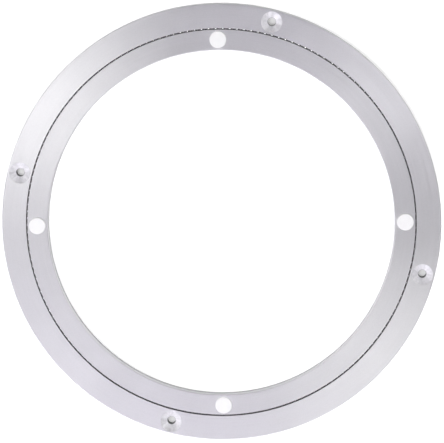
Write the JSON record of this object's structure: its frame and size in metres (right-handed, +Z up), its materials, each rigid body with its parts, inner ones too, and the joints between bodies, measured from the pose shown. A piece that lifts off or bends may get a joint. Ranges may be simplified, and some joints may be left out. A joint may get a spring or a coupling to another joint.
{
  "type": "lazy susan bearing",
  "caption": "Flat aluminium turntable bearing: an inner ring with rubber pads turns on steel balls inside a countersunk outer ring.",
  "frame": {"origin": "on the turning axis, in the plane that the outer ring stands on", "axes": "+Z up along the turning axis, from the base towards the tray; +X to the right and +Y to the top of the picture"},
  "size_m": [0.25, 0.25, 0.01],
  "materials": {
    "ring_aluminium": "satin, turned, with a fine circular grain",
    "ball_steel": "ground and polished bearing steel",
    "screw_steel": "plain machined steel",
    "pad_rubber": "matt white moulded rubber"
  },
  "bodies": {
    "fixed_ring": {"outer_ring": "ring_aluminium", "filler_screw": "screw_steel"},
    "turning_ring": {"inner_ring": "ring_aluminium", "rubber_pad_1": "pad_rubber", "rubber_pad_2": "pad_rubber", "rubber_pad_3": "pad_rubber", "rubber_pad_4": "pad_rubber"},
    "ball_train": {"bearing_balls": "ball_steel"}
  },
  "joints": [
    {"name": "inner_ring_turn", "type": "hinge", "parent": "fixed_ring", "child": "turning_ring", "pos_m": [0, 0, 0.00475], "axis": [0, 0, 1], "continuous": true},
    {"name": "ball_train_turn", "type": "hinge", "parent": "fixed_ring", "child": "ball_train", "pos_m": [0, 0, 0.00475], "axis": [0, 0, 1], "continuous": true}
  ],
  "couplings": [
    {"joint": "ball_train_turn", "follows": "inner_ring_turn", "ratio": 0.49097}
  ]
}
